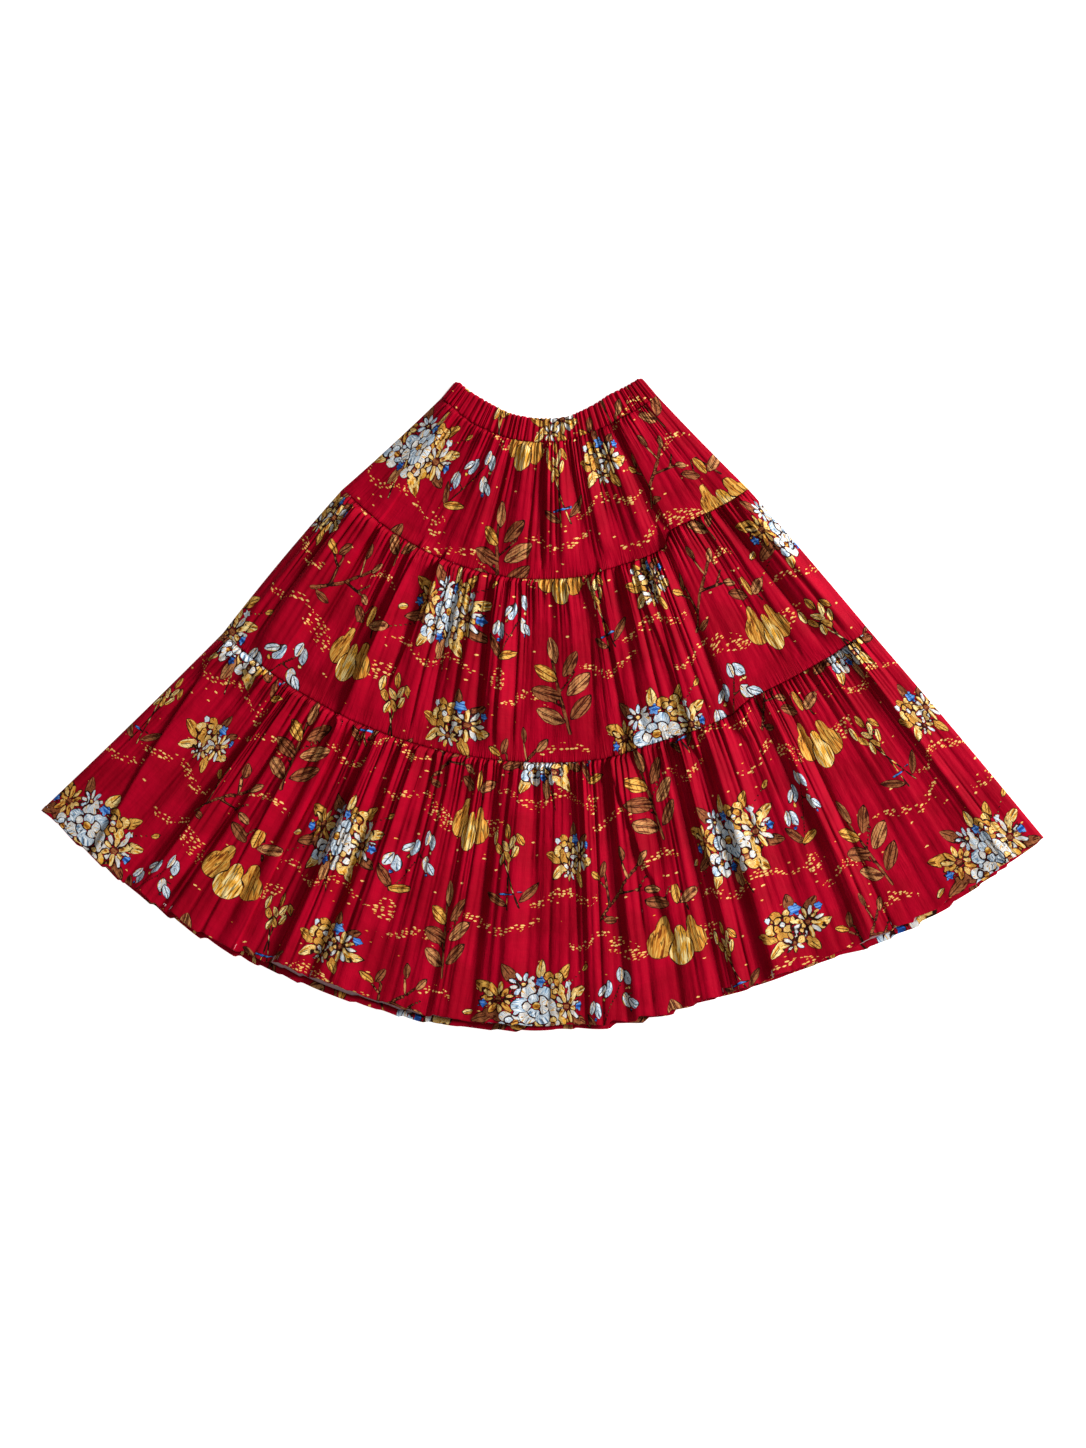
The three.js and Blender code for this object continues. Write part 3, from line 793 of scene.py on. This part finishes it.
# Inks of the print: the main tone, a second one for some brush strokes and a dark one.
inkColours = {
    "gold": ("#E8A83C", "#F8DC96", "#A86420"),
    "ochre": ("#CC8430", "#E6AE52", "#783A12"),
    "pale": ("#B4CADC", "#E8EEF2", "#6484A4"),
    "cream": ("#F4EEE4", "#CAD6E0", "#D8A860"),
    "tan": ("#A4603A", "#CC8E58", "#5E2A1A"),
    "brown": ("#78391F", "#A0603A", "#44180E"),
    "blue": ("#2A66C4", "#6EA2E2", "#1A3C7C"),
}
clothLook = {
    "red": "#AC0022",
    "deepRed": "#9A001B",
    "outline": "#260C08",
    # painted shade in the ditch of a gathered seam
    "seamDitchShade": "#3A0008",
    "speck": "#E0922E",
    "paleSpeck": "#F2C878",
    "roughness": 0.65,
    "shine": 0.04,
    "threadHeight": 0.05,  # mm
    "strokeLength": 26.0,  # mm: brush strokes inside the motifs
    "strokeWidth": 3.0,
    "hairScale": 0.55,  # the fine lines in a shape are this much coarser than its strokes
    "veinSpacing": 6.5,
    "veinSlant": -0.9,
    "creaseHeight": 0.6,  # mm: of a relief of 1
    "creasing": 7.0,  # relief at a gathered seam
    "crossCreases": 0.5,
    "crumples": 1.6,
    "speckSize": (7.0, 3.4),
    "speckRadius": (0.26, 0.16),  # share of a cell: what chance adds, and the least
    "wobble": (2.6, -1.1),  # mm: how far a fill strays from its outline, and back
}
# Noises of the cloth: millimetres to a grain across and down it, and detail. Threads are 0.3 mm
# wide, drawn coarser so that they show.
grains = {
    "patches": (70, 70, 2), "shift": (9, 14, 1), "mottle": (14, 30, 2), "warp": (1.3, 22, 1),
    "weft": (22, 1.3, 1), "creases": (5, 60, 2), "crossCreases": (22, 9, 2), "crumples": (13, 24, 4),
    "creased": (34, 150, 2),
}
# Where each tone starts and where it is full, and how strong it is at each where that isn't 0
# and 1. Inks and lines are read in millimetres from their edge or middle, below 0 inside.
tones = {
    "patches": (0.35, 0.65),
    "scatter": (1.5, -1.5), "speckShare": (0, 1, 0.01, 0.72),
    "outline": (0.4, -0.2), "fill": (-0.25, -0.95),
    "light": (0.5, 0.57), "lightHalf": (-0.5, 0.5, 0, 0.09),  # more of it on half of a leaf
    "dark": (0.41, 0.35), "darkRoot": (15, 32, 0.16, 0),  # and more of this at a petal's root
    "inside": (-0.8, -2.2), "rib": (0.8, 0.3), "vein": (0.7, 0.3, 0, 0.6),
    "hair": (0.028, 0.012, 0, 0.75),
    # painted shade at a gathered seam, read from pucker
    "ditchShade": (1.0, 1.04, 0, 0.4),
    "shade": (1.0, 2.0, 0.92, 1.08),
    "creased": (0.42, 0.66, 0, 0.12), "stitch": (0.9, 0),
}
# What each vector attribute holds, in millimetres, apart from pucker, which is a strength: of the creases,
# and of the painted shade in a seam's ditch.
printChannels = {
    "inksWarm": ["gold", "ochre", "pale"],
    "inksSoft": ["cream", "tan", "brown"],
    "inksMore": ["blue", "scatter", "pucker"],
    "sewing": ["stitch", "along", "across"],
}


# Dashes and dots of gold, in some of the cells where the scatter lies, and a rare stray one.
def scatterSpecks(add, look, cloth, scatter):
    wide, tall = clothLook["speckSize"]
    place = add("VectorMath", times, [cloth, (1 / (wide * mm), 1 / (tall * mm), 0)])
    cell = {"Vector": place, "Scale": 1}
    distance = add("TexVoronoi", cells, cell, "Distance")
    chance = add("TexVoronoi", cells, cell, "Color")
    red = add("SeparateColor", {}, [chance], 0)
    green = add("SeparateColor", {}, [chance], 1)
    size = add("Math", timesPlus, [green, *clothLook["speckRadius"]])
    drop = add("Math", below, [distance, size])
    where = add("MapRange", ramp, [scatter, *tones["scatter"]])
    wanted = add("MapRange", {}, [where, *tones["speckShare"]])
    chosen = add("Math", below, [red, wanted])
    drop = add("Math", times, [drop, chosen])
    golds = {0: green, 6: colour(clothLook["speck"]), 7: colour(clothLook["paleSpeck"])}
    gold = add("Mix", colours, golds, 2)
    return add("Mix", colours, {0: drop, 6: look, 7: gold}, 2)


# Each ink over the one before: a dark outline, and inside it the main tone with brush strokes
# along the shape in a lighter and a darker one. Then a leaf's rib and veins, and fine dark
# lines in the other shapes.
def layInks(add, look, channels, noise):
    along, across, half = channels["along"], channels["across"], strokes["shape"] / 2
    outline = colour(clothLook["outline"])
    fromRib = add("Math", {"operation": "WRAP"}, [across, half, -half])
    ribDistance = add("Math", unsigned, [fromRib])
    isLeaf = add("Math", below, [ribDistance, half / 2])
    longWay = add("Math", times, [along, 1 / clothLook["strokeLength"]])
    shortWay = add("Math", times, [across, 1 / clothLook["strokeWidth"]])
    place = add("CombineXYZ", {}, [longWay, shortWay])
    streak = add("TexNoise", flat, {"Vector": place, "Scale": 1, "Detail": 1.5})
    hairs = {"Vector": place, "Scale": clothLook["hairScale"], "Detail": 1}
    hairs = add("TexNoise", flat, hairs)

    upper = add("MapRange", ramp, [fromRib, *tones["lightHalf"]])
    light = add("Math", timesPlus, [upper, isLeaf, streak])
    light = add("MapRange", ramp, [light, *tones["light"]])
    root = add("MapRange", {}, [along, *tones["darkRoot"]])
    root = add("MapRange", {}, [isLeaf, 0, 1, root, 0])
    dark = add("Math", minus, [streak, root])
    dark = add("MapRange", ramp, [dark, *tones["dark"]])
    wobble = add("Math", timesPlus, [noise["shift"], *clothLook["wobble"]])
    anyInk = channels[inkNames[0]]
    for name in inkNames:
        main, lighter, darker = (colour(code) for code in inkColours[name])
        tone = add("Mix", colours, {0: light, 6: main, 7: lighter}, 2)
        tone = add("Mix", colours, {0: dark, 6: tone, 7: darker}, 2)
        loose = add("Math", plus, [channels[name], wobble])
        edge = add("MapRange", ramp, [channels[name], *tones["outline"]])
        fill = add("MapRange", ramp, [loose, *tones["fill"]])
        look = add("Mix", colours, {0: edge, 6: look, 7: outline}, 2)
        look = add("Mix", colours, {0: fill, 6: look, 7: tone}, 2)
        anyInk = add("Math", {"operation": "MINIMUM"}, [anyInk, channels[name]])

    inside = add("MapRange", ramp, [anyInk, *tones["inside"]])
    ribLine = add("MapRange", ramp, [ribDistance, *tones["rib"]])
    slanted = add("Math", timesPlus, [ribDistance, clothLook["veinSlant"], along])
    vein = add("Math", {"operation": "PINGPONG"}, [slanted, clothLook["veinSpacing"] / 2])
    veinLine = add("MapRange", ramp, [vein, *tones["vein"]])
    veinLine = add("Math", {"operation": "MAXIMUM"}, [veinLine, ribLine])
    veinLine = add("Math", times, [veinLine, isLeaf])
    hair = add("Math", minus, [hairs, 0.5])
    hair = add("Math", unsigned, [hair])
    hairLine = add("MapRange", ramp, [hair, *tones["hair"]])
    line = add("MapRange", {}, [isLeaf, 0, 1, hairLine, veinLine])
    line = add("Math", times, [line, inside])
    return add("Mix", colours, {0: line, 6: look, 7: outline}, 2)


# Relief of the cloth: creases that fan out from a gathered seam and lie in some stretches of
# the rest, crumples of wear, and a dent along the stitches; then the threads on it.
def clothBump(add, noise, weave, channels):
    creases = add("Math", minus, [noise["creases"], 0.5])
    creases = add("Math", unsigned, [creases])
    strength = add("MapRange", ramp, [noise["creased"], *tones["creased"]])
    strength = add("Math", plus, [channels["pucker"], strength])
    creases = add("Math", times, [creases, strength])
    relief = add("Math", times, [creases, clothLook["creasing"]])
    for name in ("crossCreases", "crumples"):
        relief = add("Math", timesPlus, [noise[name], clothLook[name], relief])
    stitches = add("MapRange", ramp, [channels["stitch"], *tones["stitch"]])
    relief = add("Math", minus, [relief, stitches])
    crease = {"Strength": 1, "Distance": clothLook["creaseHeight"] * mm, "Height": relief}
    bump = add("Bump", {}, crease)
    thread = {"Strength": 1, "Distance": clothLook["threadHeight"] * mm, "Height": weave, "Normal": bump}
    return add("Bump", {}, thread)


# Printed plain-weave cotton: pigment inks on dyed cloth, matt, with hardly any shine, and the
# slubs of its threads both ways. Small creases fan out from the gathered seams.
def cottonPrint():
    material, add = newMaterial("printedCottonPlainWeave")
    cloth = add("UVMap", {"uv_map": "cloth"}, {})
    noise = {}
    for name, (across, down, detail) in grains.items():
        grain = add("VectorMath", times, [cloth, (1 / (across * mm), 1 / (down * mm), 0)])
        noise[name] = add("TexNoise", flat, {"Vector": grain, "Scale": 1, "Detail": detail})
    channels = {}
    for group, names in printChannels.items():
        read = add("Attribute", {"attribute_name": group}, {}, "Vector")
        for k, name in enumerate(names):
            channels[name] = add("SeparateXYZ", {}, [read], k)

    patch = add("MapRange", ramp, [noise["patches"], *tones["patches"]])
    dyes = {0: patch, 6: colour(clothLook["red"]), 7: colour(clothLook["deepRed"])}
    look = add("Mix", colours, dyes, 2)
    look = scatterSpecks(add, look, cloth, channels["scatter"])
    look = layInks(add, look, channels, noise)

    # painted shade: the ditch of a gathered seam is darkened, where hardly any light reaches
    ditchShade = add("MapRange", ramp, [channels["pucker"], *tones["ditchShade"]])
    look = add("Mix", colours, {0: ditchShade, 6: look, 7: colour(clothLook["seamDitchShade"])}, 2)

    # threads and mottled dye
    weave = add("Math", plus, [noise["warp"], noise["weft"]])
    shade = add("Math", plus, [weave, noise["mottle"]])
    shade = add("MapRange", {}, [shade, *tones["shade"]])
    look = add("Mix", dict(colours, blend_type="MULTIPLY"), {0: 1, 6: look, 7: shade}, 2)
    cotton = {
        "Base Color": look, "Roughness": clothLook["roughness"],
        "Specular IOR Level": clothLook["shine"], "Normal": clothBump(add, noise, weave, channels),
    }
    shader = add("BsdfPrincipled", {}, cotton)
    add("OutputMaterial", {}, [shader], None)
    return material


insideLook = {
    "pale": "#E2CACB",
    "rosy": "#C08C93",
    "roughness": 0.85,
    "shine": 0.06,
    "blotches": 90.0,  # to a metre
    "threads": 700.0,  # to a metre: real ones are half as wide, too fine to show
    "threadHeight": 0.05,  # mm
}


# The wrong side of the same cotton, where the dye and the inks only half come through.
def cottonInside():
    material, add = newMaterial("cottonWrongSide")
    cloth = add("UVMap", {"uv_map": "cloth"}, {})
    blotch = {"Vector": cloth, "Scale": insideLook["blotches"], "Detail": 2}
    thread = {"Vector": cloth, "Scale": insideLook["threads"], "Detail": 1}
    blotch, thread = add("TexNoise", flat, blotch), add("TexNoise", flat, thread)
    pinks = {0: blotch, 6: colour(insideLook["pale"]), 7: colour(insideLook["rosy"])}
    relief = {"Strength": 1, "Distance": insideLook["threadHeight"] * mm, "Height": thread}
    cotton = {
        "Base Color": add("Mix", colours, pinks, 2), "Roughness": insideLook["roughness"],
        "Specular IOR Level": insideLook["shine"], "Normal": add("Bump", {}, relief),
    }
    shader = add("BsdfPrincipled", {}, cotton)
    add("OutputMaterial", {}, [shader], None)
    return material


print("making materials")
outside = cottonPrint()
inside = cottonInside()


# The inner face keeps every row this near the shell's ends, and every skip-th one between.
nearRows = {"top": 9, "bottom": 13}


# Faces of a closed shell, given its outer grid and the rows that its inner one keeps: quads on
# both and across the two end rims, and along each side a face from one kept row to the next.
def shellFaces(rows, columns, kept, flipped):
    o = np.arange(rows * columns).reshape(rows, columns)
    i = rows * columns + np.arange(len(kept) * columns).reshape(len(kept), columns)

    def quads(a, b, c, d):
        return np.stack([a, b, c, d], axis=-1).reshape(-1, 4)

    quadSets = [
        quads(o[:-1, :-1], o[1:, :-1], o[1:, 1:], o[:-1, 1:]),
        quads(i[:-1, :-1], i[:-1, 1:], i[1:, 1:], i[1:, :-1]),
        quads(o[0, :-1], o[0, 1:], i[0, 1:], i[0, :-1]),
        quads(o[-1, 1:], o[-1, :-1], i[-1, :-1], i[-1, 1:]),
    ]
    sides = []
    for k in range(len(kept) - 1):
        between = np.arange(kept[k], kept[k + 1] + 1)
        sides.append(np.concatenate([o[between[::-1], 0], [i[k, 0], i[k + 1, 0]]]))
        sides.append(np.concatenate([o[between, -1], [i[k + 1, -1], i[k, -1]]]))
    if flipped:
        quadSets = [f[:, ::-1] for f in quadSets]
        sides = [f[::-1] for f in sides]
    return quadSets, sides


# Makes a thin closed shell of cloth from a grid of points: a fine outer face, an inner face
# with the same columns and fewer rows, and rims that join them. flipped is whether the outer
# face is on the other side of the grid. Where rows are left out on a front, the inner face
# keeps below the lowest of the outer rows near it.
def makeShell(name, surface, start, flipped, pucker, stitch, skip):
    points, s, t = surface
    rows, columns = s.shape
    normals = np.cross(np.gradient(points, axis=0), np.gradient(points, axis=1))
    normals = normals / np.maximum(np.linalg.norm(normals, axis=2, keepdims=True), 1e-9)
    row = np.arange(rows)
    kept = row[(row < nearRows["top"]) | (row > rows - nearRows["bottom"]) | (row % skip == 0)]
    inner = points[kept] - (-1 if flipped else 1) * layers["cloth"] * normals[kept]
    if skip > 1 and not flipped:
        height = points[:, :, 2]
        lowest = np.minimum(np.roll(height, skip - 1, axis=0), np.roll(height, 1 - skip, axis=0))
        lowest = np.minimum(height, lowest) - layers["cloth"]
        middle = (kept >= nearRows["top"]) & (kept <= rows - nearRows["bottom"])
        inner[middle, :, 2] = np.minimum(inner[middle, :, 2], lowest[kept[middle]])
    quadSets, sides = shellFaces(rows, columns, kept, flipped)
    corners = np.concatenate([f.ravel() for f in quadSets] + sides)
    counts = [len(f) for f in quadSets]
    lengths = np.concatenate([np.full(sum(counts), 4), [len(f) for f in sides]])
    number = np.arange(len(lengths))
    onFaces = number < counts[0] + counts[1]

    def overall(values):
        parts = values.reshape(rows * columns, -1), values[kept].reshape(len(kept) * columns, -1)
        return np.concatenate(parts)

    mesh = bpy.data.meshes.new(name)
    places = np.concatenate([points.reshape(-1, 3), inner.reshape(-1, 3)]) * mm
    mesh.vertices.add(len(places))
    mesh.vertices.foreach_set("co", places.ravel())
    mesh.loops.add(len(corners))
    mesh.loops.foreach_set("vertex_index", corners)
    mesh.polygons.add(len(lengths))
    mesh.polygons.foreach_set("loop_start", np.concatenate([[0], np.cumsum(lengths)[:-1]]))
    mesh.polygons.foreach_set("use_smooth", onFaces)
    mesh.materials.append(outside)
    mesh.materials.append(inside)
    mesh.polygons.foreach_set("material_index", (onFaces & (number >= counts[0])).astype(np.int32))
    mesh.update(calc_edges=True)
    uv = overall(np.stack([s + start[0], t + start[1]], axis=-1)) * mm
    mesh.uv_layers.new(name="cloth").data.foreach_set("uv", uv[corners].ravel())
    values = dict(printOn(s, t, start), pucker=pucker, stitch=stitch)
    for group, names in printChannels.items():
        channel = mesh.attributes.new(group, "FLOAT_VECTOR", "POINT")
        channel.data.foreach_set("vector", overall(np.stack([values[k] for k in names], axis=-1)).ravel())
    piece = bpy.data.objects.new(name, mesh)
    bpy.context.scene.collection.objects.link(piece)
    return piece


def declare(piece, node):
    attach(piece, "root")
    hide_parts(node)


floor = bpy.data.objects.new("floor", bpy.data.meshes.new("floor"))

# Small creases: how strong they are on open cloth and at the edges, and over how many
# millimetres they die away from the waistband's seam, a tier's top and its lower seam. Where this strength
# passes 1, right at a gathered seam, it also lays painted shade in the seam's ditch.
edgeCreases = {"open": 0.05, "bandReach": 6, "topReach": 22, "bottom": 0.6, "bottomReach": 12}
hemStitch = 9  # millimetres from the hem, and farther than that from any other edge
backSkip = 4

print("making the waistband")
for side in ("back", "front"):
    half = band[side]
    columns = band["columns"] if side == "front" else band["backColumns"]
    surface = bandSurface(side, columns, half["seed"])
    t = surface[2]
    pucker = edgeCreases["open"] + np.exp(-(band["cut"][1] - np.abs(t)) / edgeCreases["bandReach"])
    stitch = np.full(t.shape, float(hemStitch))
    name = "waistband" + side.capitalize()
    piece = makeShell(name, surface, half["printFrom"], side == "front", pucker, stitch, 1)
    under = "floor" if side == "back" else "waistbandBack"
    declare(piece, "waistband_" + side)

for tier in tiers:
    print("making", tier["name"])
    wide, deep = tier["cut"]
    across, down = tier["printFrom"]
    for side in ("back", "front"):
        isBack = side == "back"
        surface = backSurface(tier) if isBack else frontSurface(tier)
        t = surface[2]
        pucker = edgeCreases["open"] + np.exp(-np.maximum(t, 0) / edgeCreases["topReach"])
        stitch = np.abs(deep - hemStitch - t)
        if tier["bottom"] != "frontHem":
            toSeam = np.maximum(deep - t, 0) / edgeCreases["bottomReach"]
            pucker = pucker + edgeCreases["bottom"] * np.exp(-toSeam)
            stitch = np.full(t.shape, float(hemStitch))
        start = (across + wide, down) if isBack else (across, down)
        skip = backSkip if isBack else tier["skip"]
        name = tier["name"] + side.capitalize()
        piece = makeShell(name, surface, start, isBack, pucker, stitch, skip)
        under = "floor" if isBack else tier["name"] + "Back"
        declare(piece, tier["name"] + "_" + side)

# Plain pale floor and soft studio light, the key from the right and the far side. Metres.
studio = {
    "floorSize": 60.0,  # wide enough to fill the view from low down
    "floorDrop": 0.0004,  # below the skirt, so that the two don't flicker
    "floor": "#FCFCFB",
    "floorRoughness": 0.9,
    "floorGlow": 0.85,  # the paper is lit from below, so that hardly any shadow shows on it
    "white": (1, 1, 1, 1),
    "world": 0.12,
    "key": {"place": (6.9, 2.8, 3.4), "size": 2.6, "power": 1100},
    "fill": {"place": (-1.5, -4.5, 4.5), "size": 3.0, "power": 60},
}
print("making the studio")
half, under = studio["floorSize"] / 2, -studio["floorDrop"]
corners = [(-half, -half, under), (half, -half, under), (half, half, under), (-half, half, under)]
floor.data.from_pydata(corners, [], [(0, 1, 2, 3)])
bpy.context.scene.collection.objects.link(floor)
# Matt white studio paper: even and pale, without gloss.
paper, add = newMaterial("paleStudioPaper")
shader = add("BsdfPrincipled", {}, {
    "Base Color": colour(studio["floor"]), "Roughness": studio["floorRoughness"],
    "Emission Color": studio["white"], "Emission Strength": studio["floorGlow"],
})
add("OutputMaterial", {}, [shader], None)
floor.data.materials.append(paper)

world = bpy.data.worlds.new("studio")
world.use_nodes = True
background = world.node_tree.nodes["Background"]
background.inputs["Color"].default_value = studio["white"]
background.inputs["Strength"].default_value = studio["world"]
bpy.context.scene.world = world


# A square soft light at a place, facing the middle of the skirt.
def softLight(name, setting):
    light = bpy.data.lights.new(name, "AREA")
    light.energy = setting["power"]
    light.size = setting["size"]
    lamp = bpy.data.objects.new(name, light)
    x, y, z = setting["place"]
    lamp.location = (x, y, z)
    lamp.rotation_euler = (math.atan2(math.hypot(x, y), z), 0, math.atan2(x, -y))
    bpy.context.scene.collection.objects.link(lamp)


softLight("keyLight", studio["key"])
softLight("fillLight", studio["fill"])

# The photograph looks straight down. Its frame is 1086 by 1448 pixels, 1.4 mm to a pixel.
view = {"pixel": 1.4, "wide": 1086, "tall": 1448, "lens": 85.0, "sensor": 36.0, "centre": (0.0006, -0.0274)}
camera = bpy.data.objects.new("camera", bpy.data.cameras.new("camera"))
camera.data.lens = view["lens"]
camera.data.sensor_width = view["sensor"]
camera.location = (*view["centre"], view["tall"] * view["pixel"] * mm * view["lens"] / view["sensor"])
bpy.context.scene.collection.objects.link(camera)
bpy.context.scene.camera = camera
bpy.context.scene.view_settings.view_transform = "Standard"
